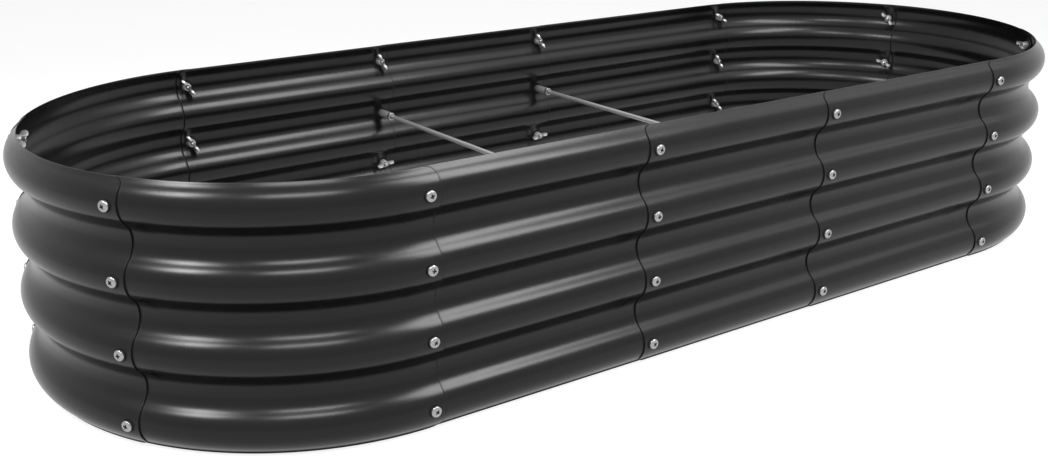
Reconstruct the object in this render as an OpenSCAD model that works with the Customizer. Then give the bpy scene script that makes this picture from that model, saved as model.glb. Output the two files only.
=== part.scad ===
/* [Bed] */
// Length of one straight side, from its first bolt line to its last
side_length = 914.4; // [600:1:1500]
// Radius of each round end, to the middle of the sheet on its outer crests
end_radius = 304.8; // [250:1:450]
// Waves in the height of a panel, each with one row of screws
rows = 4; // [2:1:6]
// Rows of screws above the brace rods
rows_above_braces = 1; // [0:1:1]

/* [Sheet] */
// Thickness of the steel sheet
sheet_thickness = 0.8; // [0.5:0.1:1.2]
// Height of one wave, and so the spacing of the screw rows
wave_pitch = 76.2; // [66:0.1:90]
// Depth of the wave from crest to valley
wave_depth = 18; // [14:0.5:20]
// Height of the lowest screw row above the bottom edge
lower_lip = 25.4; // [16:0.1:30]
// Height of the top edge above the highest screw row
upper_lip = 25.4; // [25:0.1:32]
// Distance from a row of holes to the end of the panel
edge_distance = 12; // [9:0.5:12]
// Clearance that lets one lapped panel nest behind the other
lap_clearance = 0.3; // [0.3:0.05:0.6]
// Diameter of the screw holes
hole_diameter = 6.6; // [6.4:0.1:7.2]

/* [Screws] */
// Diameter of the screw shanks
screw_diameter = 6; // [5:0.1:6.2]
// Length of a screw under its head
screw_length = 16; // [14:0.5:18]
// Diameter of the pan head
head_diameter = 12; // [11:0.5:14]
// Height of the pan head
head_height = 4; // [3.5:0.1:5]
// Height of the straight rim of the pan head
head_rim = 1.6; // [1:0.1:2]
// Span of the cross recess
recess_span = 6.4; // [5:0.1:7]
// Width of one slot of the cross recess
recess_width = 1.5; // [1:0.1:2]
// Depth of the cross recess
recess_depth = 2.2; // [1.5:0.1:2.4]
// Chamfer at the tip of the shank
tip_chamfer = 0.8; // [0.4:0.1:1]
// Gap between a fastener and the sheet that it clamps
seat_gap = 0.05; // [0.02:0.01:0.1]
// Clearance round a shank or a rod in its thread
thread_clearance = 0.2; // [0.1:0.05:0.4]

/* [Wing nuts] */
// Diameter of the hub where it meets the sheet
hub_diameter = 12; // [11:0.5:13]
// Diameter of the hub at its far end
hub_top_diameter = 9; // [8.5:0.5:10]
// Height of the hub
hub_height = 8; // [7:0.5:9]
// Thickness of the wings
wing_thickness = 2.8; // [2:0.1:3.4]
// Radius of the round lobe at the end of a wing
lobe_radius = 4.4; // [3.5:0.1:4.6]
// Distance of a lobe's centre from the axis of the nut
lobe_reach = 9; // [8:0.5:11]
// Height of a lobe's centre above the foot of the hub
lobe_rise = 9; // [8:0.5:11]
// Width of the arm between the hub and a lobe
arm_width = 6.4; // [5:0.1:7]

/* [Brace rods] */
// Diameter of the brace rods
rod_diameter = 6; // [5:0.1:6.4]
// Diameter of the round sleeve at each end of a rod
sleeve_diameter = 11; // [10.5:0.5:14]
// Length of the sleeve
sleeve_length = 26; // [26:1:34]
// Chamfer on both ends of the sleeve
sleeve_chamfer = 0.8; // [0.4:0.1:1.2]
// Length of rod that is screwed into the sleeve
rod_grip = 10; // [6:0.5:10]
// Width across the flats of the lock nut
lock_nut_width = 10; // [10:0.5:12]
// Thickness of the lock nut
lock_nut_height = 5; // [3:0.5:6]

/* [Hidden] */

// Places of the seams between panels, on each straight side as shares of its length
// from the left, and on each round end as shares of its half turn
side_seam_shares = [0.32, 0.63];
right_seam_shares = [-0.013, 0.308, 0.628, 0.949];
left_seam_shares = [0, 1 / 3, 2 / 3];

// Facets of the small round shapes, the waves and the round ends
small_facets = 32;
wave_facets = 48;
end_facets = 180;

// How far a cutting shape runs past what it cuts
overrun = 1;

// The wave is made of equal arcs, and the slope is the steepest angle between them
wave_slope = 2 * atan(2 * wave_depth / wave_pitch);
wave_radius = wave_pitch / (4 * sin(wave_slope));
top_row_height = lower_lip + (rows - 1) * wave_pitch;
bed_height = top_row_height + upper_lip;
brace_height = top_row_height - rows_above_braces * wave_pitch;

// How far the inner one of two lapped panels stands behind the outer one
lap_step = sheet_thickness / cos(wave_slope) + lap_clearance;

// The wall runs along the front, round the right end, along the back and round the left end
end_length = PI * end_radius;
half_way = side_length + end_length;

// Length along the wall of each seam, and once more of the first one
seams = concat(
    [0],
    [for (share = side_seam_shares) share * side_length],
    [for (share = right_seam_shares) side_length + share * end_length],
    [for (i = [1:len(side_seam_shares)])
        half_way + (1 - side_seam_shares[len(side_seam_shares) - i]) * side_length],
    [for (share = left_seam_shares) half_way + side_length + share * end_length],
    [2 * half_way]
);

// Corners are where a straight side meets a round end, and each panel has its nearest one
corners = [0, side_length, half_way, half_way + side_length, 2 * half_way];
panel_corners = [0, 0, 1, 1, 1, 2, 2, 3, 3, 3, 4, 4];

// For each panel, whether its first and its last end lap outside the next panel
laps_outside = [
    [false, false], [true, false], [true, false],
    [true, true], [false, true], [false, true],
    [false, true], [false, true], [false, false],
    [true, true], [false, true], [false, true]
];

// Turn of each wing nut, from the top row down, one line for each seam
nut_turns = [
    [20, 75, -40, 50], [65, 0, -25, 40], [-15, 30, 70, 10], [35, -60, 15, 80],
    [10, 50, -30, 25], [45, 19, 60, -20],
    [35, 60, 51, 15], [59, 0, -10, 40], [63, 0, -10, 30], [52, 58, 20, -35],
    [-30, 15, 65, 40], [25, -50, 10, 70]
];

// Seats of the fasteners, measured outward from the outer sheet's middle
head_seat = sheet_thickness / 2 + seat_gap;
function inner_seat(diameter) =
    -lap_step - sheet_thickness / 2 - seat_gap
    - (wave_radius - sheet_thickness / 2)
    + sqrt(pow(wave_radius - sheet_thickness / 2, 2) - pow(diameter / 2, 2));
sleeve_seat = inner_seat(sleeve_diameter);
lock_nut_seat = sleeve_seat - sleeve_length - seat_gap;
rod_seat = sleeve_seat - sleeve_length + rod_grip;

// Radius of the dome that joins the rim of a head to its top
head_dome = (pow(head_diameter / 2, 2) + pow(head_height - head_rim, 2))
    / (2 * (head_height - head_rim));
lobe_angle = atan2(lobe_rise - hub_height / 2, lobe_reach);

function row_height(row) = top_row_height - row * wave_pitch;
function wall_turn(length) = length / end_radius * 180 / PI;

// Heading and place of a length past a corner: an odd corner has its side before it
function heading(corner, past) = wall_turn(corner % 2 == 1 ? max(past, 0) : min(past, 0));
function spot(corner, past) =
    let (turn = heading(corner, past))
    [end_radius * cos(turn), end_radius * sin(turn) + (turn == 0 ? past : 0)];

// Section of everything behind the sheet's face, with the face moved outward
module behind_wave(out) {
    foot = -wave_radius + (wave_radius + out) * cos(wave_slope);
    difference() {
        union() {
            translate([-2 * wave_depth, -wave_pitch / 2])
                square([2 * wave_depth + foot, bed_height + wave_pitch]);
            for (row = [0:rows - 1])
                translate([-wave_radius, row_height(row)])
                    circle(wave_radius + out, $fn = wave_facets);
        }
        for (row = [0:rows])
            translate([wave_radius - wave_depth, row_height(row - 1 / 2)])
                circle(wave_radius - out, $fn = wave_facets);
    }
}

// Upright section of the sheet, with its outer crests on the line of zero
module sheet_section() {
    intersection() {
        difference() {
            behind_wave(sheet_thickness / 2);
            behind_wave(-sheet_thickness / 2);
        }
        translate([-2 * wave_depth + overrun, 0])
            square([2 * wave_depth + overrun, bed_height]);
    }
}

// Puts its children at a length along the wall, with x outward and y along the wall
module at_wall(length) {
    half = floor(length / half_way);
    on_side = min(length - half * half_way, side_length);
    on_end = length - half * half_way - on_side;
    rotate([0, 0, 180 * half])
        translate([on_side - side_length / 2, 0, 0])
            rotate([0, 0, wall_turn(on_end) - 90])
                translate([end_radius, 0, 0])
                    children();
}

// A straight stretch of sheet, from y = 0 along the wall
module straight_sheet(length) {
    translate([0, length, 0])
        rotate([90, 0, 0])
            linear_extrude(length)
                sheet_section();
}

// The sheet between two lengths past a corner, in the frame of the round end's centre
module sheet_run(corner, from, to) {
    side = corner % 2 == 1 ? [from, min(to, 0)] : [max(from, 0), to];
    end = corner % 2 == 1 ? [max(from, 0), to] : [from, min(to, 0)];
    if (side[1] > side[0])
        translate([end_radius, side[0], 0])
            straight_sheet(side[1] - side[0]);
    if (end[1] > end[0])
        rotate_extrude(
            start = wall_turn(end[0]),
            angle = wall_turn(end[1] - end[0]),
            $fn = end_facets
        )
            translate([end_radius, 0])
                sheet_section();
}

// The holes of one seam, one for each row
module seam_holes(seam) {
    reach = lap_step + sheet_thickness + overrun;
    at_wall(seams[seam])
        for (row = [0:rows - 1])
            translate([-reach, 0, row_height(row)])
                rotate([0, 90, 0])
                    cylinder(h = 2 * reach, d = hole_diameter, $fn = small_facets);
}

// A panel laps both its neighbours, and is turned a little about its first seam
// so that each end stands outside or inside the neighbour there
module panel(number) {
    corner = panel_corners[number];
    from = seams[number] - corners[corner];
    to = seams[number + 1] - corners[corner];
    first = laps_outside[number][0] ? 0 : lap_step;
    last = laps_outside[number][1] ? 0 : lap_step;
    pivot = spot(corner, from);
    reach = spot(corner, to) - pivot;
    first_heading = heading(corner, from);
    last_heading = heading(corner, to);
    swing = last - first * cos(last_heading - first_heading);
    lever = reach[1] * cos(last_heading) - reach[0] * sin(last_heading);
    difference() {
        at_wall(corners[corner])
            translate([-end_radius, 0, 0])
                translate(pivot - first * [cos(first_heading), sin(first_heading)])
                    rotate([0, 0, atan(swing / lever)])
                        translate(-pivot)
                            sheet_run(corner, from - edge_distance, to + edge_distance);
        seam_holes(number);
        seam_holes(number + 1);
    }
}

// A pan head screw along x, with the underside of its head at zero
module screw() {
    rotate([0, 90, 0]) {
        difference() {
            intersection() {
                cylinder(h = head_height, d = head_diameter, $fn = small_facets);
                translate([0, 0, head_height - head_dome])
                    sphere(head_dome, $fn = 2 * small_facets);
            }
            for (turn = [0, 90])
                rotate([0, 0, turn])
                    translate([-recess_span / 2, -recess_width / 2, head_height - recess_depth])
                        cube([recess_span, recess_width, recess_depth + overrun]);
        }
        translate([0, 0, tip_chamfer - screw_length])
            cylinder(h = screw_length - tip_chamfer, d = screw_diameter, $fn = small_facets);
        translate([0, 0, -screw_length])
            cylinder(
                h = tip_chamfer,
                d1 = screw_diameter - 2 * tip_chamfer,
                d2 = screw_diameter,
                $fn = small_facets
            );
    }
}

// A wing nut along x, with its foot at zero and its wings toward the inside
module wing_nut() {
    rotate([0, -90, 0])
        difference() {
            union() {
                cylinder(h = hub_height, d1 = hub_diameter, d2 = hub_top_diameter, $fn = small_facets);
                for (side = [0, 180])
                    rotate([0, 0, side])
                        rotate([90, 0, 0])
                            translate([0, 0, -wing_thickness / 2])
                                linear_extrude(wing_thickness)
                                    wing_outline();
            }
            translate([0, 0, -overrun])
                cylinder(
                    h = lobe_rise + lobe_radius + 2 * overrun,
                    d = screw_diameter + thread_clearance,
                    $fn = small_facets
                );
        }
}

module wing_outline() {
    translate([lobe_reach, lobe_rise])
        circle(lobe_radius, $fn = small_facets);
    intersection() {
        translate([0, hub_height / 2])
            rotate(lobe_angle)
                translate([0, -arm_width / 2])
                    square([lobe_reach / cos(lobe_angle), arm_width]);
        translate([0, wing_thickness / 2])
            square([lobe_reach + lobe_radius, lobe_rise + lobe_radius]);
    }
}

module seam_screws(seam) {
    color("silver")
        at_wall(seams[seam])
            for (row = [0:rows - 1])
                translate([head_seat, 0, row_height(row)])
                    rotate([nut_turns[seam][row], 0, 0])
                        screw();
}

// A braced seam has a sleeve in place of one of its nuts
module seam_wing_nuts(seam, braced) {
    color("lightgray")
        at_wall(seams[seam])
            for (row = [0:rows - 1])
                if (!braced || row != rows_above_braces)
                    translate([inner_seat(hub_diameter), 0, row_height(row)])
                        rotate([nut_turns[seam][row], 0, 0])
                            wing_nut();
}

module sleeve() {
    rotate([0, -90, 0])
        difference() {
            union() {
                translate([0, 0, sleeve_chamfer])
                    cylinder(
                        h = sleeve_length - 2 * sleeve_chamfer,
                        d = sleeve_diameter,
                        $fn = small_facets
                    );
                cylinder(
                    h = sleeve_chamfer,
                    d1 = sleeve_diameter - 2 * sleeve_chamfer,
                    d2 = sleeve_diameter,
                    $fn = small_facets
                );
                translate([0, 0, sleeve_length - sleeve_chamfer])
                    cylinder(
                        h = sleeve_chamfer,
                        d1 = sleeve_diameter,
                        d2 = sleeve_diameter - 2 * sleeve_chamfer,
                        $fn = small_facets
                    );
            }
            translate([0, 0, -overrun])
                cylinder(
                    h = sleeve_length + 2 * overrun,
                    d = max(screw_diameter, rod_diameter) + thread_clearance,
                    $fn = small_facets
                );
        }
}

module lock_nut() {
    rotate([0, -90, 0])
        difference() {
            cylinder(h = lock_nut_height, d = lock_nut_width / cos(30), $fn = 6);
            translate([0, 0, -overrun])
                cylinder(
                    h = lock_nut_height + 2 * overrun,
                    d = rod_diameter + thread_clearance,
                    $fn = small_facets
                );
        }
}

// A rod lies across the bed between two seams that face each other
module brace_rod(front_seam) {
    color("darkgray")
        at_wall(seams[front_seam])
            translate([rod_seat, 0, brace_height])
                rotate([0, -90, 0])
                    cylinder(h = 2 * (end_radius + rod_seat), d = rod_diameter, $fn = small_facets);
}

module brace_sleeves(front_seam, back_seam) {
    color("gray")
        for (seam = [front_seam, back_seam])
            at_wall(seams[seam])
                translate([sleeve_seat, 0, brace_height])
                    sleeve();
}

module brace_lock_nuts(front_seam, back_seam) {
    color("silver")
        for (seam = [front_seam, back_seam])
            at_wall(seams[seam])
                translate([lock_nut_seat, 0, brace_height])
                    lock_nut();
}

module front_left_panel() color("dimgray") panel(0);
module front_middle_panel() color("dimgray") panel(1);
module front_right_panel() color("dimgray") panel(2);
module right_front_panel() color("dimgray") panel(3);
module right_end_panel() color("dimgray") panel(4);
module right_back_panel() color("dimgray") panel(5);
module back_right_panel() color("dimgray") panel(6);
module back_middle_panel() color("dimgray") panel(7);
module back_left_panel() color("dimgray") panel(8);
module left_back_panel() color("dimgray") panel(9);
module left_end_panel() color("dimgray") panel(10);
module left_front_panel() color("dimgray") panel(11);

module front_seam_1_screws() seam_screws(0);
module front_seam_2_screws() seam_screws(1);
module front_seam_3_screws() seam_screws(2);
module front_seam_4_screws() seam_screws(3);
module right_seam_1_screws() seam_screws(4);
module right_seam_2_screws() seam_screws(5);
module back_seam_1_screws() seam_screws(6);
module back_seam_2_screws() seam_screws(7);
module back_seam_3_screws() seam_screws(8);
module back_seam_4_screws() seam_screws(9);
module left_seam_1_screws() seam_screws(10);
module left_seam_2_screws() seam_screws(11);

module front_seam_1_wing_nuts() seam_wing_nuts(0, false);
module front_seam_2_wing_nuts() seam_wing_nuts(1, true);
module front_seam_3_wing_nuts() seam_wing_nuts(2, true);
module front_seam_4_wing_nuts() seam_wing_nuts(3, false);
module right_seam_1_wing_nuts() seam_wing_nuts(4, false);
module right_seam_2_wing_nuts() seam_wing_nuts(5, false);
module back_seam_1_wing_nuts() seam_wing_nuts(6, false);
module back_seam_2_wing_nuts() seam_wing_nuts(7, true);
module back_seam_3_wing_nuts() seam_wing_nuts(8, true);
module back_seam_4_wing_nuts() seam_wing_nuts(9, false);
module left_seam_1_wing_nuts() seam_wing_nuts(10, false);
module left_seam_2_wing_nuts() seam_wing_nuts(11, false);

module left_brace_rod() brace_rod(1);
module right_brace_rod() brace_rod(2);
module left_brace_sleeves() brace_sleeves(1, 8);
module right_brace_sleeves() brace_sleeves(2, 7);
module left_brace_lock_nuts() brace_lock_nuts(1, 8);
module right_brace_lock_nuts() brace_lock_nuts(2, 7);

front_left_panel();
front_middle_panel();
front_right_panel();
right_front_panel();
right_end_panel();
right_back_panel();
back_right_panel();
back_middle_panel();
back_left_panel();
left_back_panel();
left_end_panel();
left_front_panel();
front_seam_1_screws();
front_seam_2_screws();
front_seam_3_screws();
front_seam_4_screws();
right_seam_1_screws();
right_seam_2_screws();
back_seam_1_screws();
back_seam_2_screws();
back_seam_3_screws();
back_seam_4_screws();
left_seam_1_screws();
left_seam_2_screws();
front_seam_1_wing_nuts();
front_seam_2_wing_nuts();
front_seam_3_wing_nuts();
front_seam_4_wing_nuts();
right_seam_1_wing_nuts();
right_seam_2_wing_nuts();
back_seam_1_wing_nuts();
back_seam_2_wing_nuts();
back_seam_3_wing_nuts();
back_seam_4_wing_nuts();
left_seam_1_wing_nuts();
left_seam_2_wing_nuts();
left_brace_rod();
right_brace_rod();
left_brace_sleeves();
right_brace_sleeves();
left_brace_lock_nuts();
right_brace_lock_nuts();
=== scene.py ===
import math

import bmesh
import bpy
from mathutils import Matrix, Vector


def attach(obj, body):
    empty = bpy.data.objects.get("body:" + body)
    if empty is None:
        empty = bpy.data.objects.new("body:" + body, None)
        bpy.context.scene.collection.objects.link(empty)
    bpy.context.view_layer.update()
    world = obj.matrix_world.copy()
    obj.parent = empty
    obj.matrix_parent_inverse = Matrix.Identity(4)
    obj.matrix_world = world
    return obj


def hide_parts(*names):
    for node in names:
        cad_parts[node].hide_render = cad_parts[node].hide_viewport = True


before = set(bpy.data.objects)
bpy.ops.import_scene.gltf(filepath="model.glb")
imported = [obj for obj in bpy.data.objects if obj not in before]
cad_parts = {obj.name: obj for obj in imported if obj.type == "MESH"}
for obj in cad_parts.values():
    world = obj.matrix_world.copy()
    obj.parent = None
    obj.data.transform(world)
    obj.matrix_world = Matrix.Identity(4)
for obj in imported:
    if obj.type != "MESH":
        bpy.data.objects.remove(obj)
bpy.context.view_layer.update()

bl_info = {
    "name": "Raised Garden Bed",
    "version": (1, 0, 0),
    "blender": (4, 5, 0),
    "location": "3D View > Sidebar > Garden Bed",
    "description": "Finishes the corrugated garden bed and sets it in a studio",
    "category": "Object",
}

MILLIMETRE = 0.001

# Room under a seated head, nut or sleeve
SEAT_GAP = 0.05 * MILLIMETRE

# Points this close are merged, and points this near a sheet's end are on it
MERGE_DISTANCE = 0.002 * MILLIMETRE
ON_END = 0.01 * MILLIMETRE

# Panels and seams from the front left corner, along the front and on round the bed
PANELS = (
    "front_left_panel", "front_middle_panel", "front_right_panel",
    "right_front_panel", "right_end_panel", "right_back_panel",
    "back_right_panel", "back_middle_panel", "back_left_panel",
    "left_back_panel", "left_end_panel", "left_front_panel",
)
SEAMS = (
    "front_seam_1", "front_seam_2", "front_seam_3", "front_seam_4",
    "right_seam_1", "right_seam_2",
    "back_seam_1", "back_seam_2", "back_seam_3", "back_seam_4",
    "left_seam_1", "left_seam_2",
)

# Where the seams stand: shares of a straight side from the left, and of each end's half turn
# from its first corner
SIDE_SEAM_SHARES = (0.32, 0.63)
RIGHT_SEAM_SHARES = (-0.013, 0.308, 0.628, 0.949)
LEFT_SEAM_SHARES = (0, 1 / 3, 2 / 3)

# The corner that each panel is drawn from. A corner is where a side meets an end: 0 is at the
# front left, 1 front right, 2 back right, 3 back left, and 4 is the front left again.
PANEL_CORNERS = (0, 0, 1, 1, 1, 2, 2, 3, 3, 3, 4, 4)

# Whether each panel's first and last end lap outside their neighbour
LAPS_OUTSIDE = (
    (False, False), (True, False), (True, False),
    (True, True), (False, True), (False, True),
    (False, True), (False, True), (False, False),
    (True, True), (False, True), (False, True),
)

# Turn of each screw and wing nut in degrees, from the top row down
FASTENER_TURNS = (
    (20, 75, -40, 50), (65, 0, -25, 40), (-15, 30, 70, 10), (35, -60, 15, 80),
    (10, 50, -30, 25), (45, 19, 60, -20),
    (35, 60, 51, 15), (59, 0, -10, 40), (63, 0, -10, 30), (52, 58, 20, -35),
    (-30, 15, 65, 40), (25, -50, 10, 70),
)

# Braced seams, front and back, and the row that their rods are in
BRACES = {"left": (1, 8), "right": (2, 7)}
BRACE_ROW = 1

# How finely a sheet is drawn: faces over a crest or valley and over the part of one at each
# edge, and the length of a face round an end
WAVE_STEPS = 24
EDGE_STEPS = 8
ROLL_STEP = 9 * MILLIMETRE

# Least distance between two cuts across a sheet
CUT_DISTANCE = 0.1 * MILLIMETRE

# Crown of a pan head: the shares of its radius that are drawn, and how square its curve is
CROWN_SHARES = (0.985, 0.96, 0.92, 0.86, 0.78, 0.68, 0.55, 0.4, 0.2, 0)
CROWN_SQUARENESS = (3, 2.2)

# Size of the cross recess at its bottom, as shares of its depth axis, span and width
RECESS_TAPER = (1, 0.55, 0.8)

# Where the flat top of a thread begins and ends, as shares of its pitch
THREAD_TOP = (0.42, 0.58)

# Steps in which a wing's arm is drawn to the hub, as shares of the lobe's reach
ARM_STEPS = (0.3, 0.42)

# Softboxes: name, place, the point that it faces, and its width and height
SOFTBOXES = (
    ("front_softbox", (0.52, -1.08, 1.63), (-0.1, 0, 0.2), (0.5, 1.0)),
    ("corner_softbox", (-0.94, -1.17, 1.73), (-0.4, 0, 0.2), (0.8, 0.35)),
    ("left_softbox", (-1.79, -0.23, 1.71), (-0.5, 0, 0.2), (0.45, 0.45)),
    ("right_softbox", (1.44, -0.77, 1.99), (0.1, 0, 0.15), (0.9, 2.0)),
)

FLOOR_SIZE = 30

# The camera's place, its turn to the right and its look down in radians, and its sensor in mm
CAMERA_PLACE = (-1.08472, -1.32391, 0.62005)
CAMERA_YAW = 0.62713
CAMERA_PITCH = 0.32234
SENSOR_WIDTH = 36


class BedSheetSettings(bpy.types.PropertyGroup):
    """Sizes and colour of the corrugated sheets."""

    side_length: bpy.props.FloatProperty(
        name="Side Length", description="Length of one straight side",
        default=0.9144, min=0.6, max=1.5, unit="LENGTH")
    end_radius: bpy.props.FloatProperty(
        name="End Radius", description="Radius of each round end at the outer crests",
        default=0.3048, min=0.25, max=0.45, unit="LENGTH")
    rows: bpy.props.IntProperty(
        name="Rows", description="Waves in the height of a panel",
        default=4, min=2, max=6)
    thickness: bpy.props.FloatProperty(
        name="Sheet Thickness", description="Thickness of the coated sheet",
        default=0.0008, min=0.0005, max=0.0012, unit="LENGTH", precision=4)
    wave_pitch: bpy.props.FloatProperty(
        name="Wave Pitch", description="Height of one wave",
        default=0.0762, min=0.066, max=0.09, unit="LENGTH", precision=4)
    wave_depth: bpy.props.FloatProperty(
        name="Wave Depth", description="Depth of the wave from crest to valley",
        default=0.018, min=0.014, max=0.02, unit="LENGTH", precision=4)
    lower_lip: bpy.props.FloatProperty(
        name="Lower Lip", description="Height of the lowest row above the bottom edge",
        default=0.0254, min=0.02, max=0.03, unit="LENGTH", precision=4)
    upper_lip: bpy.props.FloatProperty(
        name="Upper Lip", description="Height of the top edge above the highest row",
        default=0.0254, min=0.025, max=0.032, unit="LENGTH", precision=4)
    edge_distance: bpy.props.FloatProperty(
        name="Edge Distance", description="Distance from a row of holes to the panel's end",
        default=0.012, min=0.009, max=0.012, unit="LENGTH", precision=4)
    lap_clearance: bpy.props.FloatProperty(
        name="Lap Clearance", description="Clearance between two lapped sheets",
        default=0.0003, min=0.0003, max=0.0006, unit="LENGTH", precision=5)
    corner_radius: bpy.props.FloatProperty(
        name="Corner Radius", description="Radius of a panel's four corners",
        default=0.011, min=0.002, max=0.011, unit="LENGTH", precision=4)
    edge_round: bpy.props.FloatProperty(
        name="Edge Round", description="Rounding that the coat gives the sheet's edges",
        default=0.00018, min=0.00005, max=0.0002, unit="LENGTH", precision=5)
    coat_color: bpy.props.FloatVectorProperty(
        name="Coat Color", description="Colour of the powder coat",
        default=(0.003, 0.003, 0.0033), min=0, max=1, subtype="COLOR")
    # Light cut edges: a thin coat on the edges, made lighter as a painted highlight along the rims
    edge_wear_and_highlight_color: bpy.props.FloatVectorProperty(
        name="Edge Color", description="Colour of the thin coat on the cut edges",
        default=(0.3, 0.3, 0.305), min=0, max=1, subtype="COLOR")


class BedFastenerSettings(bpy.types.PropertyGroup):
    """Sizes and colours of the screws and wing nuts."""

    head_diameter: bpy.props.FloatProperty(
        name="Head Diameter", description="Diameter of the pan heads",
        default=0.012, min=0.011, max=0.014, unit="LENGTH", precision=4)
    head_height: bpy.props.FloatProperty(
        name="Head Height", description="Height of the pan heads",
        default=0.004, min=0.0035, max=0.005, unit="LENGTH", precision=4)
    head_rim: bpy.props.FloatProperty(
        name="Head Rim", description="Height of the straight rim of a head",
        default=0.0016, min=0.001, max=0.002, unit="LENGTH", precision=4)
    recess_span: bpy.props.FloatProperty(
        name="Recess Span", description="Span of the cross recess",
        default=0.0068, min=0.005, max=0.007, unit="LENGTH", precision=4)
    recess_width: bpy.props.FloatProperty(
        name="Recess Width", description="Width of one slot of the recess",
        default=0.002, min=0.001, max=0.0022, unit="LENGTH", precision=4)
    recess_depth: bpy.props.FloatProperty(
        name="Recess Depth", description="Depth of the cross recess",
        default=0.0022, min=0.0015, max=0.0024, unit="LENGTH", precision=4)
    screw_diameter: bpy.props.FloatProperty(
        name="Screw Diameter", description="Diameter over the threads",
        default=0.006, min=0.005, max=0.0062, unit="LENGTH", precision=4)
    screw_length: bpy.props.FloatProperty(
        name="Screw Length", description="Length of a screw under its head",
        default=0.016, min=0.014, max=0.018, unit="LENGTH", precision=4)
    thread_pitch: bpy.props.FloatProperty(
        name="Thread Pitch", description="Spacing of the threads",
        default=0.001, min=0.0008, max=0.00125, unit="LENGTH", precision=5)
    thread_depth: bpy.props.FloatProperty(
        name="Thread Depth", description="Depth of the threads",
        default=0.0004, min=0.0002, max=0.0006, unit="LENGTH", precision=5)
    clearance: bpy.props.FloatProperty(
        name="Thread Clearance", description="Clearance round a shank in its nut",
        default=0.0001, min=0.00005, max=0.0002, unit="LENGTH", precision=5)
    hub_diameter: bpy.props.FloatProperty(
        name="Hub Diameter", description="Diameter of a wing nut's foot",
        default=0.012, min=0.011, max=0.013, unit="LENGTH", precision=4)
    hub_top_diameter: bpy.props.FloatProperty(
        name="Hub Top Diameter", description="Diameter of a wing nut's hub at its far end",
        default=0.009, min=0.0085, max=0.01, unit="LENGTH", precision=4)
    hub_height: bpy.props.FloatProperty(
        name="Hub Height", description="Height of a wing nut's hub",
        default=0.008, min=0.007, max=0.009, unit="LENGTH", precision=4)
    wing_thickness: bpy.props.FloatProperty(
        name="Wing Thickness", description="Thickness of the wings",
        default=0.0028, min=0.002, max=0.0034, unit="LENGTH", precision=4)
    lobe_radius: bpy.props.FloatProperty(
        name="Lobe Radius", description="Radius of the round end of a wing",
        default=0.0044, min=0.0035, max=0.0046, unit="LENGTH", precision=4)
    lobe_reach: bpy.props.FloatProperty(
        name="Lobe Reach", description="Distance of a lobe from the nut's axis",
        default=0.009, min=0.008, max=0.011, unit="LENGTH", precision=4)
    lobe_rise: bpy.props.FloatProperty(
        name="Lobe Rise", description="Height of a lobe above the nut's foot",
        default=0.009, min=0.008, max=0.011, unit="LENGTH", precision=4)
    arm_width: bpy.props.FloatProperty(
        name="Arm Width", description="Width of the arm between hub and lobe",
        default=0.0064, min=0.005, max=0.007, unit="LENGTH", precision=4)
    screw_color: bpy.props.FloatVectorProperty(
        name="Screw Color", description="Colour of the zinc plating on the screws",
        default=(0.38, 0.38, 0.385), min=0, max=1, subtype="COLOR")
    nut_color: bpy.props.FloatVectorProperty(
        name="Wing Nut Color", description="Colour of the cast wing nuts",
        default=(0.75, 0.75, 0.755), min=0, max=1, subtype="COLOR")


class BedBraceSettings(bpy.types.PropertyGroup):
    """Sizes and colours of the rods, sleeves and lock nuts."""

    rod_diameter: bpy.props.FloatProperty(
        name="Rod Diameter", description="Diameter of the brace rods",
        default=0.006, min=0.005, max=0.0064, unit="LENGTH", precision=4)
    sleeve_diameter: bpy.props.FloatProperty(
        name="Sleeve Diameter", description="Diameter of the sleeve at each end of a rod",
        default=0.011, min=0.0105, max=0.014, unit="LENGTH", precision=4)
    sleeve_length: bpy.props.FloatProperty(
        name="Sleeve Length", description="Length of a sleeve",
        default=0.026, min=0.026, max=0.034, unit="LENGTH", precision=4)
    sleeve_chamfer: bpy.props.FloatProperty(
        name="Sleeve Chamfer", description="Chamfer on both ends of a sleeve",
        default=0.0008, min=0.0004, max=0.0012, unit="LENGTH", precision=4)
    rod_grip: bpy.props.FloatProperty(
        name="Rod Grip", description="Length of rod that is screwed into a sleeve",
        default=0.01, min=0.006, max=0.01, unit="LENGTH", precision=4)
    rod_thread: bpy.props.FloatProperty(
        name="Rod Thread", description="Length of thread that shows past a lock nut",
        default=0.008, min=0.0, max=0.03, unit="LENGTH", precision=4)
    nut_width: bpy.props.FloatProperty(
        name="Lock Nut Width", description="Width across the flats of a lock nut",
        default=0.01, min=0.01, max=0.012, unit="LENGTH", precision=4)
    nut_height: bpy.props.FloatProperty(
        name="Lock Nut Height", description="Thickness of a lock nut",
        default=0.005, min=0.003, max=0.006, unit="LENGTH", precision=4)
    rod_color: bpy.props.FloatVectorProperty(
        name="Rod Color", description="Colour of the rods",
        default=(0.42, 0.42, 0.425), min=0, max=1, subtype="COLOR")
    sleeve_color: bpy.props.FloatVectorProperty(
        name="Sleeve Color", description="Colour of the sleeves",
        default=(0.24, 0.24, 0.243), min=0, max=1, subtype="COLOR")
    nut_color: bpy.props.FloatVectorProperty(
        name="Lock Nut Color", description="Colour of the lock nuts",
        default=(0.55, 0.55, 0.56), min=0, max=1, subtype="COLOR")


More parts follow.
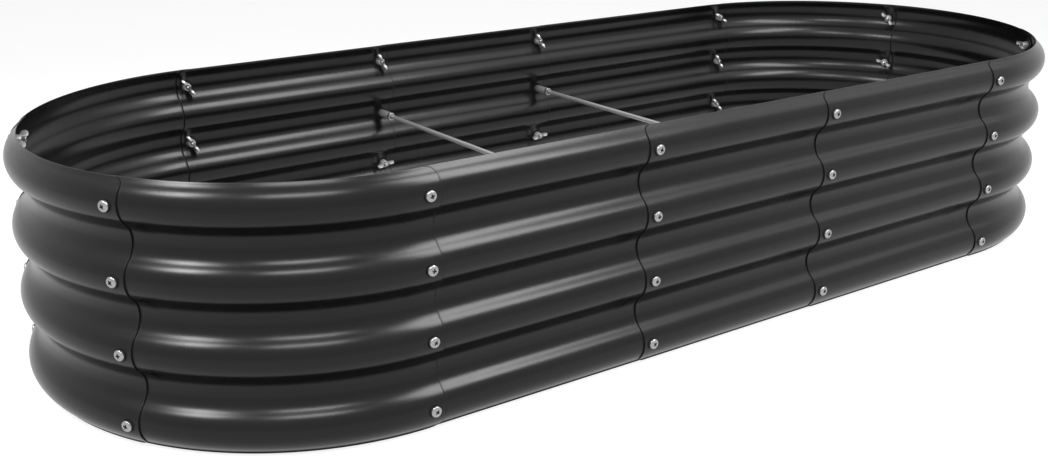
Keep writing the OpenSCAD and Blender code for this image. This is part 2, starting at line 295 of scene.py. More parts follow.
class BedStageSettings(bpy.types.PropertyGroup):
    """Floor, lamps and camera."""

    floor_color: bpy.props.FloatVectorProperty(
        name="Floor Color", description="Colour of the floor where a lamp lights it",
        default=(0.3, 0.3, 0.3), min=0, max=1, subtype="COLOR")
    floor_glow: bpy.props.FloatProperty(
        name="Floor Glow", description="Even whiteness that camera and gloss see in the floor",
        default=0.86, min=0.0, max=1.0)
    front_softbox_power: bpy.props.FloatProperty(
        name="Front Softbox Power", description="Power of the tall softbox in front",
        default=27.0, min=0.0, unit="POWER")
    corner_softbox_power: bpy.props.FloatProperty(
        name="Corner Softbox Power", description="Power of the softbox off the front left corner",
        default=14.5, min=0.0, unit="POWER")
    left_softbox_power: bpy.props.FloatProperty(
        name="Left Softbox Power", description="Power of the softbox beside the left end",
        default=24.0, min=0.0, unit="POWER")
    right_softbox_power: bpy.props.FloatProperty(
        name="Right Softbox Power", description="Power of the tall softbox in front on the right",
        default=6.5, min=0.0, unit="POWER")
    sky_level: bpy.props.FloatProperty(
        name="Sky Level", description="Strength of the even light from all round",
        default=0.06, min=0.0, max=1.0)
    lens: bpy.props.FloatProperty(
        name="Lens", description="Focal length of the camera in millimetres",
        default=44.639, min=10, max=200)


# ---- Modelling ----

def start_fresh():
    """Leaves edit mode and selects nothing."""
    if bpy.context.object and bpy.context.object.mode != "OBJECT":
        bpy.ops.object.mode_set(mode="OBJECT")
    bpy.ops.object.select_all(action="DESELECT")


def pick(*pieces):
    """Selects these pieces, the first of them as the active one."""
    start_fresh()
    for piece in pieces:
        piece.select_set(True)
    bpy.context.view_layer.objects.active = pieces[0]


def name_piece(name):
    """Names the active piece and its data."""
    piece = bpy.context.object
    piece.name = name
    piece.data.name = name
    return piece


def start_point(name, place):
    """A new piece in edit mode that is one selected point, made of a small plane."""
    start_fresh()
    bpy.ops.mesh.primitive_plane_add(size=MILLIMETRE)
    piece = name_piece(name)
    bpy.ops.object.mode_set(mode="EDIT")
    bpy.ops.mesh.select_mode(type="VERT")
    bpy.ops.mesh.select_all(action="SELECT")
    bpy.ops.mesh.merge(type="CENTER")
    bpy.ops.transform.translate(value=place)
    return piece


def extrude(move):
    bpy.ops.mesh.extrude_region_move(TRANSFORM_OT_translate={"value": move})


def spin(angle, steps, centre, axis):
    """Spins the selection right-handed about the axis: without a window the angle is reversed."""
    bpy.ops.mesh.spin(steps=steps, angle=-angle, center=centre, axis=axis)


def close_up():
    """Merges the doubles of the piece in edit mode, and turns all its faces outwards."""
    bpy.ops.mesh.select_all(action="SELECT")
    bpy.ops.mesh.remove_doubles(threshold=MERGE_DISTANCE)
    bpy.ops.mesh.normals_make_consistent(inside=False)


def select_only(piece, kind, wanted):
    """Selects the wanted faces or edges of the piece in edit mode, and nothing else."""
    bpy.ops.mesh.select_mode(type=kind)
    bpy.ops.mesh.select_all(action="DESELECT")
    mesh = bmesh.from_edit_mesh(piece.data)
    for part in mesh.faces if kind == "FACE" else mesh.edges:
        if wanted(part):
            part.select_set(True)
    mesh.select_flush_mode()
    bmesh.update_edit_mesh(piece.data)


def apply_modifier(piece, name, kind, **values):
    """Adds a modifier with these values and applies it."""
    pick(piece)
    modifier = piece.modifiers.new(name, kind)
    for key, value in values.items():
        setattr(modifier, key, value)
    bpy.ops.object.modifier_apply(modifier=modifier.name)


def smooth(piece, degrees=35):
    """Shades the piece smooth, but for edges that turn by more than these degrees."""
    pick(piece)
    bpy.ops.object.shade_smooth_by_angle(angle=math.radians(degrees))


def put(piece, place):
    """Moves the piece by a matrix and applies it, so that its object stays at the origin."""
    pick(piece)
    piece.matrix_world = place
    bpy.ops.object.transform_apply(location=True, rotation=True, scale=True)


def join(name, pieces):
    """Joins the pieces into one, with this name."""
    pick(*pieces)
    if len(pieces) > 1:
        bpy.ops.object.join()
    return name_piece(name)


def set_copies(model, name, places):
    """One piece of copies of the model, with a mesh of its own, one in each place."""
    copies = []
    for place in places:
        pick(model)
        bpy.ops.object.duplicate(linked=False)
        copies.append(bpy.context.object)
        put(copies[-1], place)
    return join(name, copies)


def discard(*pieces):
    for piece in pieces:
        bpy.data.objects.remove(piece)


def turned(name, outline, steps, closed=False):
    """A piece turned about X. The outline is pairs of a place along X and a radius."""
    piece = start_point(name, (outline[0][0], 0, outline[0][1]))
    points = outline + outline[:1] if closed else outline
    for last, point in zip(points, points[1:]):
        extrude((point[0] - last[0], 0, point[1] - last[1]))
    bpy.ops.mesh.select_all(action="SELECT")
    if closed:
        bpy.ops.mesh.remove_doubles(threshold=MERGE_DISTANCE)
    spin(math.tau, steps, (0, 0, 0), (1, 0, 0))
    close_up()
    bpy.ops.object.mode_set(mode="OBJECT")
    return piece


def finish_piece(piece, node, slot, *materials):
    """Gives the piece its materials, and sets it in the frame in place of a CAD node."""
    piece.data.materials.clear()
    for material in materials:
        piece.data.materials.append(material)
    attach(piece, "root")
    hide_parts(node)


# ---- Measures of the wall ----

class Wall:
    """What follows from the sheet's settings: the wave, the seams and the places on the wall."""

    def __init__(self, sheet):
        self.side = sheet.side_length
        self.radius = sheet.end_radius
        self.slope = 2 * math.atan(2 * sheet.wave_depth / sheet.wave_pitch)
        self.wave_radius = sheet.wave_pitch / (4 * math.sin(self.slope))
        self.pitch = sheet.wave_pitch
        self.depth = sheet.wave_depth
        self.top_row = sheet.lower_lip + (sheet.rows - 1) * self.pitch
        self.height = self.top_row + sheet.upper_lip
        self.rows = sheet.rows
        self.thickness = sheet.thickness
        self.lap_step = sheet.thickness / math.cos(self.slope) + sheet.lap_clearance
        end = math.pi * self.radius
        self.half_way = self.side + end
        self.corners = [0, self.side, self.half_way, self.half_way + self.side,
                        2 * self.half_way]
        self.seams = (
            [0]
            + [share * self.side for share in SIDE_SEAM_SHARES]
            + [self.side + share * end for share in RIGHT_SEAM_SHARES]
            + [self.half_way + (1 - share) * self.side
               for share in reversed(SIDE_SEAM_SHARES)]
            + [self.half_way + self.side + share * end for share in LEFT_SEAM_SHARES]
            + [2 * self.half_way]
        )

    def row_height(self, row):
        """Height of a row of crests, counted from the top."""
        return self.top_row - row * self.pitch

    def place(self, length):
        """Frame at a length along the wall, with x outward and y along the wall."""
        half = math.floor(length / self.half_way)
        on_side = min(length - half * self.half_way, self.side)
        on_end = length - half * self.half_way - on_side
        return (
            Matrix.Rotation(math.pi * half, 4, "Z")
            @ Matrix.Translation((on_side - self.side / 2, 0, 0))
            @ Matrix.Rotation(on_end / self.radius - math.pi / 2, 4, "Z")
            @ Matrix.Translation((self.radius, 0, 0))
        )

    def heading(self, corner, past):
        """Turn of the wall at a length past a corner: an odd corner has its side before it."""
        return (max(past, 0) if corner % 2 else min(past, 0)) / self.radius

    def spot(self, corner, past):
        """Point of the wall at a length past a corner, in the frame of that corner."""
        turn = self.heading(corner, past)
        return Vector((self.radius * math.cos(turn),
                       self.radius * math.sin(turn) + (past if turn == 0 else 0), 0))

    def panel_place(self, number):
        """Where a panel stands, turned a little from its corner's frame to lap its neighbours."""
        corner = PANEL_CORNERS[number]
        begin = self.seams[number] - self.corners[corner]
        end = self.seams[number + 1] - self.corners[corner]
        first, last = (0 if outside else self.lap_step for outside in LAPS_OUTSIDE[number])
        pivot = self.spot(corner, begin)
        reach = self.spot(corner, end) - pivot
        begin_heading = self.heading(corner, begin)
        end_heading = self.heading(corner, end)
        swing = last - first * math.cos(end_heading - begin_heading)
        lever = reach.y * math.cos(end_heading) - reach.x * math.sin(end_heading)
        step_in = Vector((math.cos(begin_heading), math.sin(begin_heading), 0)) * first
        return (
            self.place(self.corners[corner])
            @ Matrix.Translation((-self.radius, 0, 0))
            @ Matrix.Translation(pivot - step_in)
            @ Matrix.Rotation(math.atan(swing / lever), 4, "Z")
            @ Matrix.Translation(-pivot)
        )

    def hole_place(self, seam, row, seat):
        """Frame at a hole, moved out along its axis to the seat."""
        return (self.place(self.seams[seam])
                @ Matrix.Translation((seat, 0, self.row_height(row))))

    def fastener_place(self, seam, row, seat):
        """The same, turned about the axis as the fastener there stands."""
        turns = FASTENER_TURNS[seam]
        turn = math.radians(turns[row % len(turns)])
        return self.hole_place(seam, row, seat) @ Matrix.Rotation(turn, 4, "X")

    def head_seat(self):
        """Seat of a head on the outer sheet."""
        return self.thickness / 2 + SEAT_GAP

    def inner_seat(self, diameter):
        """Seat of a foot of this diameter in the hollow of the inner sheet."""
        inside = self.wave_radius - self.thickness / 2
        return (-self.lap_step - self.thickness / 2 - SEAT_GAP
                - inside + math.sqrt(inside ** 2 - (diameter / 2) ** 2))


# ---- Materials ----

def new_group(name, inputs, outputs):
    """A shader node group with named sockets: inputs are (name, kind, default)."""
    group = bpy.data.node_groups.new(name, "ShaderNodeTree")
    for socket, kind, default in inputs:
        made = group.interface.new_socket(name=socket, in_out="INPUT", socket_type=kind)
        if default is not None:
            made.default_value = default
    for socket, kind in outputs:
        group.interface.new_socket(name=socket, in_out="OUTPUT", socket_type=kind)
    return group


def node(tree, kind, place, inputs=None, **values):
    """A new node with these properties, and then these values on its inputs."""
    made = tree.nodes.new(kind)
    made.location = place
    for key, value in values.items():
        setattr(made, key, value)
    set_inputs(made, inputs or {})
    return made


def set_inputs(made, inputs):
    for socket, value in inputs.items():
        made.inputs[socket].default_value = value


def wire(tree, *links):
    """Links outputs to inputs, each as (from node, output, to node, input)."""
    for source, output, target, socket in links:
        tree.links.new(source.outputs[output], target.inputs[socket])


def grain_group():
    """Fine grain of a coat or casting: a height for bump, and a slow mottling."""
    name = "surface_grain"
    if name in bpy.data.node_groups:
        return bpy.data.node_groups[name]
    group = new_group(
        name,
        [("Vector", "NodeSocketVector", None),
         ("Grain Scale", "NodeSocketFloat", 900.0),
         ("Mottle Scale", "NodeSocketFloat", 14.0)],
        [("Height", "NodeSocketFloat"), ("Mottle", "NodeSocketFloat")],
    )
    start = node(group, "NodeGroupInput", (-600, 0))
    end = node(group, "NodeGroupOutput", (400, 0))
    fine = node(group, "ShaderNodeTexNoise", (-300, 200), {"Detail": 3.0, "Roughness": 0.6})
    slow = node(group, "ShaderNodeTexNoise", (-300, -150), {"Detail": 5.0, "Roughness": 0.65})
    spread = node(group, "ShaderNodeMapRange", (0, -150), {"From Min": 0.3, "From Max": 0.7})
    wire(group,
         (start, "Vector", fine, "Vector"),
         (start, "Vector", slow, "Vector"),
         (start, "Grain Scale", fine, "Scale"),
         (start, "Mottle Scale", slow, "Scale"),
         (fine, "Fac", end, "Height"),
         (slow, "Fac", spread, "Value"),
         (spread, "Result", end, "Mottle"))
    return group


def painted_shade_group():
    """Mask for painted shade: 1 in the open, falling to 0 where another surface is within reach.
    """
    name = "contact_shade"
    if name in bpy.data.node_groups:
        return bpy.data.node_groups[name]
    group = new_group(
        name,
        [("Reach", "NodeSocketFloat", 3 * MILLIMETRE)],
        [("Open", "NodeSocketFloat")],
    )
    start = node(group, "NodeGroupInput", (-400, 0))
    end = node(group, "NodeGroupOutput", (300, 0))
    near = node(group, "ShaderNodeAmbientOcclusion", (-200, 0), samples=12)
    spread = node(group, "ShaderNodeMapRange", (50, 0), {"From Min": 0.72, "From Max": 0.96})
    wire(group,
         (start, "Reach", near, "Distance"),
         (near, "AO", spread, "Value"),
         (spread, "Result", end, "Open"))
    return group


def new_material(name, inputs):
    """A material, its node tree, and its shader with these values on its inputs."""
    material = bpy.data.materials.new(name)
    material.use_nodes = True
    tree = material.node_tree
    shader = tree.nodes["Principled BSDF"]
    set_inputs(shader, inputs)
    return material, tree, shader


def finish_material(name, color, fade, rough, metallic, grain_scale, mottle_scale, bump,
                    stretch=(1, 1, 1), specular=0.5, reach=1.5 * MILLIMETRE):
    """A finish with a fine grain, dark and dull where another surface is in reach: painted shade.

    Its mottling goes from the colour to the colour times fade, and over both roughnesses.
    """
    if name in bpy.data.materials:
        return bpy.data.materials[name]
    # Painted shade: share of the colour, and the roughness, where another surface is near
    painted_shade_factor, hidden_roughness = 0.25, 0.9
    material, tree, shader = new_material(
        name, {"Metallic": metallic, "Specular IOR Level": specular})
    coordinates = node(tree, "ShaderNodeTexCoord", (-1300, 0))
    mapping = node(tree, "ShaderNodeMapping", (-1100, 0), {"Scale": stretch})
    grain = node(tree, "ShaderNodeGroup", (-850, 0),
                 {"Grain Scale": grain_scale, "Mottle Scale": mottle_scale},
                 node_tree=grain_group())
    # Painted shade mask from ambient occlusion within the reach
    painted_shade_mask = node(tree, "ShaderNodeGroup", (-500, 450), {"Reach": reach},
                   node_tree=painted_shade_group())
    colors = node(tree, "ShaderNodeMix", (-500, 200),
                  {"A": shade(color, 1), "B": shade(color, fade)}, data_type="RGBA")
    roughness = node(tree, "ShaderNodeMapRange", (-500, -100),
                     {"To Min": rough[0], "To Max": rough[1]})
    # Painted shade: the colour darkens where another surface is near
    painted_shade_color = node(tree, "ShaderNodeMix", (-250, 200),
                  {"A": shade(color, painted_shade_factor)}, data_type="RGBA")
    dulled = node(tree, "ShaderNodeMix", (-250, -100),
                  {"A": hidden_roughness}, data_type="FLOAT")
    relief = node(tree, "ShaderNodeBump", (-500, -400), {"Strength": 1.0, "Distance": bump})
    wire(tree,
         (coordinates, "Object", mapping, "Vector"),
         (mapping, "Vector", grain, "Vector"),
         (grain, "Mottle", colors, "Factor"),
         (grain, "Mottle", roughness, "Value"),
         (grain, "Height", relief, "Height"),
         (painted_shade_mask, "Open", painted_shade_color, "Factor"),
         (painted_shade_mask, "Open", dulled, "Factor"),
         (colors, "Result", painted_shade_color, "B"),
         (roughness, "Result", dulled, "B"),
         (painted_shade_color, "Result", shader, "Base Color"),
         (dulled, "Result", shader, "Roughness"),
         (relief, "Normal", shader, "Normal"))
    return material


def shade(color, factor):
    """The colour times a factor, with an alpha of 1."""
    return (*(min(1.0, part * factor) for part in color), 1)


# ---- Operators ----

class BED_OT_panels(bpy.types.Operator):
    """Rolls the twelve corrugated panels and laps them round the bed"""

    bl_idname = "garden_bed.panels"
    bl_label = "Corrugated Panels"

    def execute(self, context):
        sheet = context.scene.bed_sheet
        wall = Wall(sheet)
        # The coat's painted shade reaches 4 mm, darkening the lap steps and the rings round heads
        coat = finish_material(
            "satin_coat", sheet.coat_color, fade=1.5, rough=(0.23, 0.29), metallic=0.0,
            grain_scale=1400, mottle_scale=9, bump=0.01 * MILLIMETRE,
            specular=0.27, reach=4 * MILLIMETRE)
        # Cut edges: thin coat, lighter as a painted highlight along the rims
        edge = finish_material(
            "thin_coat_on_edges", sheet.edge_wear_and_highlight_color, fade=0.5, rough=(0.35, 0.5), metallic=0.0,
            grain_scale=1400, mottle_scale=60, bump=0.01 * MILLIMETRE)
        for number, panel in enumerate(PANELS):
            piece = self.roll(wall, sheet, number, panel.replace("_panel", "_sheet"))
            finish_piece(piece, panel, "coated_sheet", coat, edge)
        return {"FINISHED"}

    def roll(self, wall, sheet, number, name):
        """Draws a panel's wave along its stretch of wall, and makes a sheet of it."""
        corner = PANEL_CORNERS[number]
        begin = wall.seams[number] - wall.corners[corner] - sheet.edge_distance
        end = wall.seams[number + 1] - wall.corners[corner] + sheet.edge_distance
        piece = self.draw_wave(wall, sheet, name)
        turn = wall.heading(corner, begin)
        bpy.ops.mesh.select_all(action="SELECT")
        if turn == 0:
            bpy.ops.transform.translate(value=(0, begin, 0))
        else:
            bpy.ops.transform.rotate(value=-turn, orient_axis="Z",
                                     center_override=(0, 0, 0))
        cuts = [begin, begin + sheet.edge_distance, end - sheet.edge_distance, end]
        if begin < 0 < end and min(map(abs, cuts)) > CUT_DISTANCE:
            cuts = sorted(cuts + [0])
        for near, far in zip(cuts, cuts[1:]):
            if wall.heading(corner, (near + far) / 2) == 0:
                extrude((0, far - near, 0))
            else:
                steps = max(1, round((far - near) / ROLL_STEP))
                spin((far - near) / wall.radius, steps, (0, 0, 0), (0, 0, 1))
        close_up()
        bpy.ops.object.mode_set(mode="OBJECT")
        self.round_corners(piece, wall, sheet, corner, begin, end)
        put(piece, wall.panel_place(number))
        smooth(piece)
        apply_modifier(piece, "sheet_thickness", "SOLIDIFY", thickness=sheet.thickness,
                       offset=0, use_even_offset=True, material_offset_rim=1)
        self.level_edges(piece, wall, sheet)
        smooth(piece)
        apply_modifier(piece, "coat_on_edges", "BEVEL", width=sheet.edge_round, segments=2,
                       limit_method="ANGLE", angle_limit=math.radians(60), harden_normals=True)
        return piece

    def level_edges(self, piece, wall, sheet):
        """Makes the bottom and top edges flat, which the thickness left slanting."""
        slant = 0.3 * sheet.thickness
        for point in piece.data.vertices:
            for level in (0, wall.height):
                if abs(point.co.z - level) < slant:
                    point.co.z = level

    def draw_wave(self, wall, sheet, name):
        """Draws a panel's upright wave, in the plane where its corner's side meets its end."""
        valley = wall.radius + wall.wave_radius - wall.depth
        crest = wall.radius - wall.wave_radius
        low = sheet.lower_lip - wall.pitch / 2
        high = wall.top_row + wall.pitch / 2
        start = math.asin(-low / wall.wave_radius)
        end = math.asin((high - wall.height) / wall.wave_radius)
        piece = start_point(name, (valley - wall.wave_radius * math.cos(start), 0, 0))
        spin(wall.slope - start, EDGE_STEPS, (valley, 0, low), (0, 1, 0))
        for row in reversed(range(wall.rows)):
            height = wall.row_height(row)
            spin(2 * wall.slope, WAVE_STEPS, (crest, 0, height), (0, -1, 0))
            if row:
                spin(2 * wall.slope, WAVE_STEPS, (valley, 0, height + wall.pitch / 2), (0, 1, 0))
        spin(wall.slope - end, EDGE_STEPS, (valley, 0, high), (0, 1, 0))
        return piece

    def round_corners(self, piece, wall, sheet, corner, begin, end):
        """Draws the points near the sheet's four corners in to a quarter circle."""
        radius = sheet.corner_radius

        def along(place):
            straight = place.y <= 0 if corner % 2 else place.y >= 0
            return place.y if straight else math.atan2(place.y, place.x) * wall.radius

        for edge, inward in ((begin, 1), (end, -1)):
            column = [point for point in piece.data.vertices
                      if abs(along(point.co) - edge) < ON_END]
            column.sort(key=lambda point: point.co.z)
            for points in (column, column[::-1]):
                gone, last = 0, points[0].co.copy()
                moves = []
                for point in points:
                    gone += (point.co - last).length
                    last = point.co.copy()
                    if gone >= radius:
                        break
                    pull = radius - math.sqrt(radius ** 2 - (radius - gone) ** 2)
                    moves.append((point, inward * pull))
                for point, move in moves:
                    if wall.heading(corner, edge + move) == 0:
                        point.co.y += move
                    else:
                        point.co.rotate(Matrix.Rotation(move / wall.radius, 3, "Z"))


class BED_OT_screws(bpy.types.Operator):
    """Turns the pan head screw and sets one in each hole of every seam"""

    bl_idname = "garden_bed.screws"
    bl_label = "Screws"

    def execute(self, context):
        sizes = context.scene.bed_fasteners
        wall = Wall(context.scene.bed_sheet)
        zinc = finish_material(
            "zinc_screws", sizes.screw_color, fade=0.8, rough=(0.22, 0.36), metallic=1.0,
            grain_scale=2500, mottle_scale=260, bump=0.01 * MILLIMETRE)
        model = self.model(sizes)
        for seam, name in enumerate(SEAMS):
            places = [wall.fastener_place(seam, row, wall.head_seat())
                      for row in range(wall.rows)]
            piece = set_copies(model, f"{name}_pan_head_screws", places)
            finish_piece(piece, f"{name}_screws", "screws", zinc)
        discard(model)
        return {"FINISHED"}

    def model(self, sizes):
        """A screw that points along -X, with its head's underside at the origin."""
        radius = sizes.screw_diameter / 2
        rim, low = sizes.head_diameter / 2, sizes.head_rim
        crown = sizes.head_height - low
        tip = -sizes.screw_length
        neck = -MILLIMETRE
        edge = 0.25 * MILLIMETRE
        soft = 0.3 * edge
        outline = [(tip, 0), (tip, radius - sizes.thread_depth * 2)]
        outline += thread(tip + sizes.thread_depth, 2 * neck, radius, sizes)
        outline += [(neck, radius), (0, radius), (0, rim - edge), (soft, rim - soft),
                    (edge, rim), (low - soft, rim)]
        side, top = CROWN_SQUARENESS
        outline += [(low + crown * (1 - share ** side) ** (1 / top), rim * share)
                    for share in CROWN_SHARES]
        piece = turned("screw_model", outline, steps=40)
        for turn in (0, 90):
            cutter = self.slot(sizes, turn)
            apply_modifier(piece, "cross_recess", "BOOLEAN", operation="DIFFERENCE",
                           object=cutter, solver="EXACT")
            discard(cutter)
        smooth(piece)
        return piece

    def slot(self, sizes, turn):
        """A tapered block that cuts one slot of the cross recess, and stands over the head."""
        start_fresh()
        over = 2 * MILLIMETRE
        depth = sizes.recess_depth + over
        top = sizes.head_height + over
        bpy.ops.mesh.primitive_cube_add(size=1)
        piece = name_piece("recess_cutter")
        bpy.ops.object.mode_set(mode="EDIT")
        bpy.ops.mesh.select_all(action="SELECT")
        bpy.ops.transform.resize(value=(depth, sizes.recess_span, sizes.recess_width))
        bpy.ops.transform.translate(value=(top - depth / 2, 0, 0))
        select_only(piece, "FACE", lambda face: face.normal.x < -0.9)  # the bottom
        bpy.ops.transform.resize(value=RECESS_TAPER)
        bpy.ops.object.mode_set(mode="OBJECT")
        put(piece, Matrix.Rotation(math.radians(turn), 4, "X"))
        return piece


def thread(begin, end, radius, sizes):
    """Outline points of a thread between two places along X."""
    root = radius - sizes.thread_depth
    turns = max(1, round((end - begin) / sizes.thread_pitch))
    pitch = (end - begin) / turns
    points = []
    for number in range(turns):
        at = begin + number * pitch
        points.append((at, root))
        points += [(at + share * pitch, radius) for share in THREAD_TOP]
    return points + [(end, root)]


class BED_OT_wing_nuts(bpy.types.Operator):
    """Casts the wing nut and sets one on each screw inside the bed"""

    bl_idname = "garden_bed.wing_nuts"
    bl_label = "Wing Nuts"

    def execute(self, context):
        sizes = context.scene.bed_fasteners
        wall = Wall(context.scene.bed_sheet)
        cast = finish_material(
            "cast_wing_nuts", sizes.nut_color, fade=0.78, rough=(0.36, 0.5), metallic=0.6,
            grain_scale=2200, mottle_scale=220, bump=0.03 * MILLIMETRE)
        model = self.model(sizes)
        braced = {seam for pair in BRACES.values() for seam in pair}
        seat = wall.inner_seat(sizes.hub_diameter)
        for seam, name in enumerate(SEAMS):
            places = [wall.fastener_place(seam, row, seat) for row in range(wall.rows)
                      if not (seam in braced and row == BRACE_ROW)]
            piece = set_copies(model, f"{name}_cast_wing_nuts", places)
            finish_piece(piece, f"{name}_wing_nuts", "wing_nuts", cast)
        discard(model)
        return {"FINISHED"}

    def model(self, sizes):
        """A wing nut that points along -X, with its foot at the origin."""
        foot, head = sizes.hub_diameter / 2, sizes.hub_top_diameter / 2
        bore = sizes.screw_diameter / 2 + sizes.clearance
        far = -sizes.hub_height
        edge = 0.35 * MILLIMETRE
        soft = 0.3 * edge
        hub = turned("wing_nut_hub", [
            (0, bore), (0, foot - edge), (-soft, foot - soft), (-edge, foot - soft / 3),
            (far / 2, (foot + head) / 2), (far + edge, head), (far + soft, head - soft),
            (far, head - edge), (far, bore + edge), (far + edge, bore),
        ], steps=32, closed=True)
        smooth(hub)
        wings = [self.wing(sizes, side) for side in (0, 180)]
        return join("wing_nut_model", [hub] + wings)

    def wing(self, sizes, side):
        """One wing: a round lobe, drawn down to the hub where its circle is as wide as the arm."""
        start_fresh()
        bpy.ops.mesh.primitive_circle_add(
            vertices=28, radius=sizes.lobe_radius, fill_type="NGON",
            location=(-sizes.lobe_rise, sizes.lobe_reach, 0))
        piece = name_piece("wing")
        bpy.ops.object.transform_apply(location=True)
        lobe = Vector((-sizes.lobe_rise, sizes.lobe_reach, 0))
        hub = Vector((-sizes.hub_height / 2, 0, 0))
        towards = (hub - lobe).normalized()
        arm_start = math.sqrt(sizes.lobe_radius ** 2 - (sizes.arm_width / 2) ** 2)

        def faces_hub(edge):
            middle = (edge.verts[0].co + edge.verts[1].co) / 2
            return (middle - lobe).dot(towards) > arm_start

        bpy.ops.object.mode_set(mode="EDIT")
        select_only(piece, "EDGE", faces_hub)
        for share in ARM_STEPS:
            extrude(towards * share * sizes.lobe_reach)
        bpy.ops.mesh.select_all(action="SELECT")
        bpy.ops.mesh.normals_make_consistent(inside=False)
        bpy.ops.object.mode_set(mode="OBJECT")
        apply_modifier(piece, "wing_thickness", "SOLIDIFY", thickness=sizes.wing_thickness,
                       offset=0, use_even_offset=True)
        apply_modifier(piece, "cast_edges", "BEVEL", width=0.8 * MILLIMETRE, segments=3,
                       limit_method="ANGLE", angle_limit=math.radians(50))
        smooth(piece, degrees=60)
        put(piece, Matrix.Rotation(math.radians(side), 4, "X"))
        return piece


class BED_OT_braces(bpy.types.Operator):
    """Turns the brace rods with their sleeves and lock nuts, and sets them across the bed"""

    bl_idname = "garden_bed.braces"
    bl_label = "Brace Rods"

    def execute(self, context):
        sizes = context.scene.bed_braces
        screws = context.scene.bed_fasteners
        wall = Wall(context.scene.bed_sheet)
        seat = wall.inner_seat(sizes.sleeve_diameter)
        nut_seat = seat - sizes.sleeve_length - SEAT_GAP
        rod_seat = seat - sizes.sleeve_length + sizes.rod_grip
        rod_finish = finish_material(
            "drawn_rods", sizes.rod_color, fade=0.82, rough=(0.34, 0.46), metallic=0.5,
            grain_scale=1800, mottle_scale=120, bump=0.008 * MILLIMETRE, stretch=(1, 0.04, 1))
        sleeve_finish = finish_material(
            "turned_sleeves", sizes.sleeve_color, fade=0.8, rough=(0.4, 0.55), metallic=0.2,
            grain_scale=2400, mottle_scale=200, bump=0.012 * MILLIMETRE, stretch=(1, 1, 0.2))
        nut_finish = finish_material(
            "zinc_lock_nuts", sizes.nut_color, fade=0.8, rough=(0.25, 0.4), metallic=1.0,
            grain_scale=2400, mottle_scale=240, bump=0.01 * MILLIMETRE)
        sleeve = self.sleeve(sizes, screws)
        nut = self.lock_nut(sizes, screws)
        rod = self.rod(wall, sizes, screws, rod_seat)
        for side, seams in BRACES.items():
            bar = set_copies(rod, f"{side}_drawn_rod",
                             [wall.hole_place(seams[0], BRACE_ROW, rod_seat)])
            finish_piece(bar, f"{side}_brace_rod", "brace_rods", rod_finish)
            tubes = set_copies(sleeve, f"{side}_turned_sleeves",
                               [wall.hole_place(seam, BRACE_ROW, seat) for seam in seams])
            finish_piece(tubes, f"{side}_brace_sleeves", "brace_sleeves", sleeve_finish)
            nuts = set_copies(nut, f"{side}_hex_lock_nuts",
                              [wall.hole_place(seam, BRACE_ROW, nut_seat) for seam in seams])
            finish_piece(nuts, f"{side}_brace_lock_nuts", "lock_nuts", nut_finish)
        discard(sleeve, nut, rod)
        return {"FINISHED"}

    def sleeve(self, sizes, screws):
        """A sleeve that points along -X, with both ends chamfered and softened."""
        outer, chamfer = sizes.sleeve_diameter / 2, sizes.sleeve_chamfer
        bore = max(sizes.rod_diameter, screws.screw_diameter) / 2 + screws.clearance
        soft = 0.3 * chamfer
        end = [(0, bore), (0, outer - chamfer - soft), (-0.4 * soft, outer - chamfer),
               (-chamfer + soft, outer - 0.8 * soft), (-chamfer - soft, outer)]
        far_end = [(-sizes.sleeve_length - along, radius) for along, radius in reversed(end)]
        piece = turned("sleeve_model", end + far_end, steps=40, closed=True)
        smooth(piece, degrees=32)
        return piece

    def lock_nut(self, sizes, screws):
        """A hexagon cut down to the double cone that rounds a nut's corners."""
        high = sizes.nut_height
        flat = sizes.nut_width / 2
        corner = flat / math.cos(math.radians(30))
        start_fresh()
        bpy.ops.mesh.primitive_cylinder_add(vertices=6, radius=corner, depth=high,
                                            rotation=(0, math.radians(90), 0))
        piece = name_piece("lock_nut_model")
        bpy.ops.object.transform_apply(rotation=True)
        bpy.ops.object.mode_set(mode="EDIT")
        bpy.ops.mesh.select_all(action="SELECT")
        bpy.ops.transform.translate(value=(-high / 2, 0, 0))
        bpy.ops.object.mode_set(mode="OBJECT")
        bore = sizes.rod_diameter / 2 + screws.clearance
        face, clear, slope = flat * 0.96, corner * 1.01, 0.55
        rise = (corner - face) * slope
        cone = turned("nut_chamfer", [
            (0, bore), (0, face), (-rise, clear), (-high + rise, clear), (-high, face),
            (-high, bore),
        ], steps=48, closed=True)
        apply_modifier(piece, "rounded_corners", "BOOLEAN", operation="INTERSECT",
                       object=cone, solver="EXACT")
        discard(cone)
        smooth(piece, degrees=25)
        return piece

    def rod(self, wall, sizes, screws, seat):
        """A rod along -X from the seat, with a thread and a chamfered tip at each end."""
        radius = sizes.rod_diameter / 2
        far = -2 * (wall.radius + seat)
        threaded = sizes.rod_grip + sizes.nut_height + sizes.rod_thread
        tip, runout = 0.3 * MILLIMETRE, 0.5 * MILLIMETRE
        blunt = radius - screws.thread_depth - tip
        outline = [(far, 0), (far, blunt)]
        outline += thread(far + tip, far + threaded, radius, screws)
        outline += [(far + threaded + runout, radius), (-threaded - runout, radius)]
        outline += thread(-threaded, -tip, radius, screws)
        outline += [(0, blunt), (0, 0)]
        piece = turned("rod_model", outline, steps=24)
        smooth(piece)
        return piece


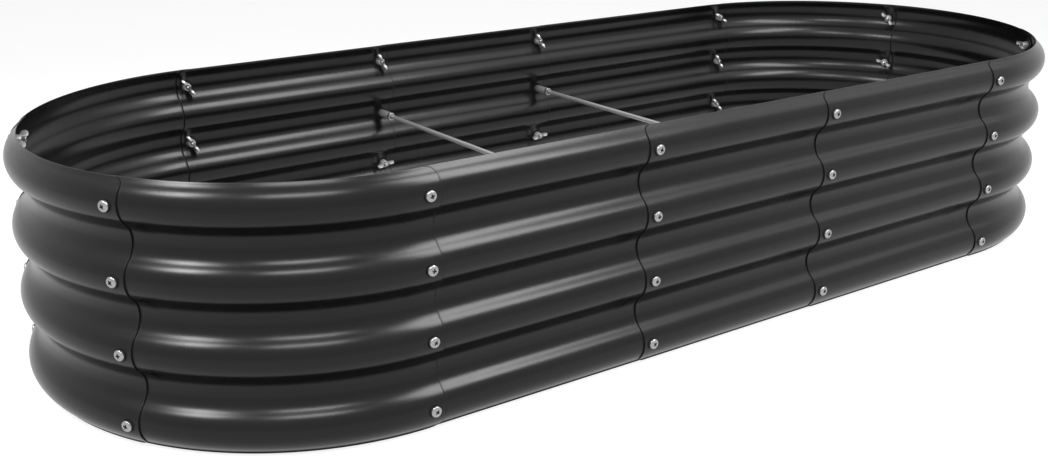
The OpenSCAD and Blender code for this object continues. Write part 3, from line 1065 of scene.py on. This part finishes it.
class BED_OT_stage(bpy.types.Operator):
    """Lays the floor, hangs the lamps and sets up the camera"""

    bl_idname = "garden_bed.stage"
    bl_label = "Studio"

    def execute(self, context):
        stage = context.scene.bed_stage
        self.floor(stage)
        self.sky(context, stage)
        for name, place, aim, size in SOFTBOXES:
            self.lamp(name, place, aim, size, getattr(stage, f"{name}_power"))
        self.camera(context, stage)
        context.scene.view_settings.view_transform = "Standard"
        return {"FINISHED"}

    def floor(self, stage):
        """A matt floor that shows as an even white, on which the bed still casts its shadow."""
        start_fresh()
        bpy.ops.mesh.primitive_plane_add(size=FLOOR_SIZE)
        floor = name_piece("studio_floor")
        material, tree, shader = new_material("studio_floor", {
            "Base Color": shade(stage.floor_color, 1), "Emission Color": (1, 1, 1, 1),
            "Roughness": 0.9, "Specular IOR Level": 0.1})
        level = self.seen_level(tree, stage.floor_glow, 0.0)
        tree.links.new(level, shader.inputs["Emission Strength"])
        floor.data.materials.append(material)

    def sky(self, context, stage):
        """A backdrop that shows as white and lights the bed only a little."""
        world = bpy.data.worlds.new("studio_sky")
        context.scene.world = world
        world.use_nodes = True
        shader = world.node_tree.nodes["Background"]
        set_inputs(shader, {"Color": (1, 1, 1, 1)})
        level = self.seen_level(world.node_tree, 1.0, stage.sky_level)
        world.node_tree.links.new(level, shader.inputs["Strength"])

    def seen_level(self, tree, seen, otherwise):
        """One level for what the camera, gloss and glass see, and another for all other light."""
        paths = node(tree, "ShaderNodeLightPath", (-900, -200))
        direct = node(tree, "ShaderNodeMath", (-650, -200), operation="MAXIMUM")
        either = node(tree, "ShaderNodeMath", (-450, -200), operation="MAXIMUM")
        level = node(tree, "ShaderNodeMapRange", (-250, -200),
                     {"To Min": otherwise, "To Max": seen})
        wire(tree,
             (paths, "Is Camera Ray", direct, 0),
             (paths, "Is Glossy Ray", direct, 1),
             (direct, "Value", either, 0),
             (paths, "Is Transmission Ray", either, 1),
             (either, "Value", level, "Value"))
        return level.outputs["Result"]

    def lamp(self, name, place, aim, size, power):
        """A softbox at a place that faces a point."""
        start_fresh()
        bpy.ops.object.light_add(type="AREA", location=place)
        lamp = name_piece(name)
        lamp.data.shape = "RECTANGLE"
        lamp.data.size, lamp.data.size_y = size
        lamp.data.energy = power
        beam = Vector(aim) - Vector(place)
        lamp.rotation_euler = beam.to_track_quat("-Z", "Y").to_euler()

    def camera(self, context, stage):
        """The camera at the photograph's angle."""
        start_fresh()
        bpy.ops.object.camera_add(
            location=CAMERA_PLACE, rotation=(math.pi / 2 - CAMERA_PITCH, 0, -CAMERA_YAW))
        camera = name_piece("studio_camera")
        camera.data.lens = stage.lens
        camera.data.sensor_width = SENSOR_WIDTH
        context.scene.camera = camera


class BED_PT_panel(bpy.types.Panel):
    """Shows the bed's settings and the steps that finish it"""

    bl_idname = "BED_PT_panel"
    bl_label = "Raised Garden Bed"
    bl_space_type = "VIEW_3D"
    bl_region_type = "UI"
    bl_category = "Garden Bed"

    def draw(self, context):
        layout = self.layout
        for settings in SETTINGS:
            group = getattr(context.scene, settings)
            box = layout.box()
            for name in group.bl_rna.properties.keys():
                if name not in ("rna_type", "name"):
                    box.prop(group, name)
        for operator in OPERATORS:
            layout.operator(operator.bl_idname)


SETTINGS = {
    "bed_sheet": BedSheetSettings,
    "bed_fasteners": BedFastenerSettings,
    "bed_braces": BedBraceSettings,
    "bed_stage": BedStageSettings,
}
OPERATORS = (BED_OT_panels, BED_OT_screws, BED_OT_wing_nuts, BED_OT_braces, BED_OT_stage)


def register():
    for group in (*SETTINGS.values(), *OPERATORS, BED_PT_panel):
        bpy.utils.register_class(group)
    for name, group in SETTINGS.items():
        setattr(bpy.types.Scene, name, bpy.props.PointerProperty(type=group))


def unregister():
    for name in SETTINGS:
        delattr(bpy.types.Scene, name)
    for group in reversed((*SETTINGS.values(), *OPERATORS, BED_PT_panel)):
        bpy.utils.unregister_class(group)


def main():
    register()
    bpy.ops.garden_bed.panels()
    bpy.ops.garden_bed.screws()
    bpy.ops.garden_bed.wing_nuts()
    bpy.ops.garden_bed.braces()
    bpy.ops.garden_bed.stage()


if __name__ == "__main__":
    main()
